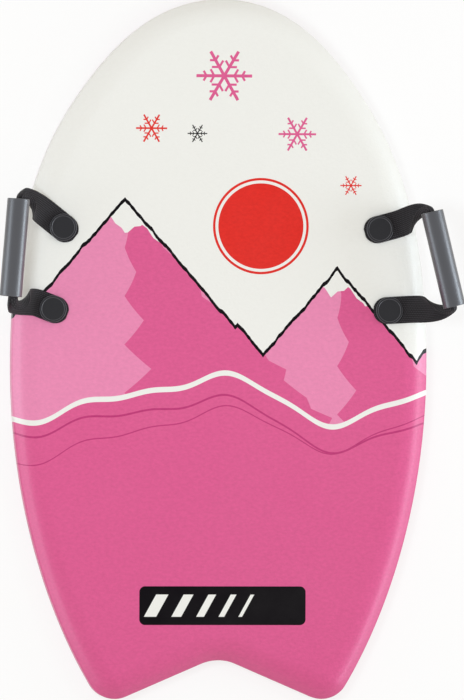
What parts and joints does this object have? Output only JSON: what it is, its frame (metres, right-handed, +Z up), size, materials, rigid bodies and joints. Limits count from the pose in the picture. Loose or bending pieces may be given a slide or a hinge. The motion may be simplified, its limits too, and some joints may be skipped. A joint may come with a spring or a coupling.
{
  "type": "foam sliding board",
  "caption": "Prone or kneeling foam sliding board with a fishtail, a slick base, a chamfered rail and a webbing grab handle with a tube grip on each side.",
  "frame": {"origin": "on the centre line at half the board's length, on the flat underside of the slick base", "axes": "+Y towards the nose, +X to the rider's right, +Z up out of the deck"},
  "size_m": [0.5666, 0.85, 0.1086],
  "materials": {
    "foam": "matte",
    "deck_film": "satin",
    "slick_sheet": "gloss",
    "cap_plastic": "satin",
    "webbing": "matte",
    "grip_plastic": "satin"
  },
  "bodies": {
    "board": {"foam_core": "foam", "deck_skin": "deck_film", "slick_base": "slick_sheet", "left_front_cap": "cap_plastic", "left_rear_cap": "cap_plastic", "right_front_cap": "cap_plastic", "right_rear_cap": "cap_plastic", "left_front_base_nut": "cap_plastic", "left_rear_base_nut": "cap_plastic", "right_front_base_nut": "cap_plastic", "right_rear_base_nut": "cap_plastic"},
    "left_handle": {"left_webbing": "webbing"},
    "left_grip": {"left_grip_tube": "grip_plastic"},
    "right_handle": {"right_webbing": "webbing"},
    "right_grip": {"right_grip_tube": "grip_plastic"}
  },
  "joints": [
    {"name": "left_handle_swing", "type": "hinge", "parent": "board", "child": "left_handle", "pos_m": [-0.21866, 0.1001, 0.04115], "axis": [0.1205, 0.9927, 0], "range_deg": [-75, 110], "deforming": ["left_webbing"]},
    {"name": "left_grip_roll", "type": "hinge", "parent": "left_handle", "child": "left_grip", "pos_m": [-0.25647, 0.12141, 0.095], "axis": [0.0788, 0.9969, 0], "continuous": true},
    {"name": "right_handle_swing", "type": "hinge", "parent": "board", "child": "right_handle", "pos_m": [0.21866, 0.1001, 0.04115], "axis": [0.1205, -0.9927, 0], "range_deg": [-62, 115], "deforming": ["right_webbing"]},
    {"name": "right_grip_roll", "type": "hinge", "parent": "right_handle", "child": "right_grip", "pos_m": [0.26502, 0.11066, 0.088], "axis": [-0.2355, 0.9719, 0], "continuous": true}
  ]
}
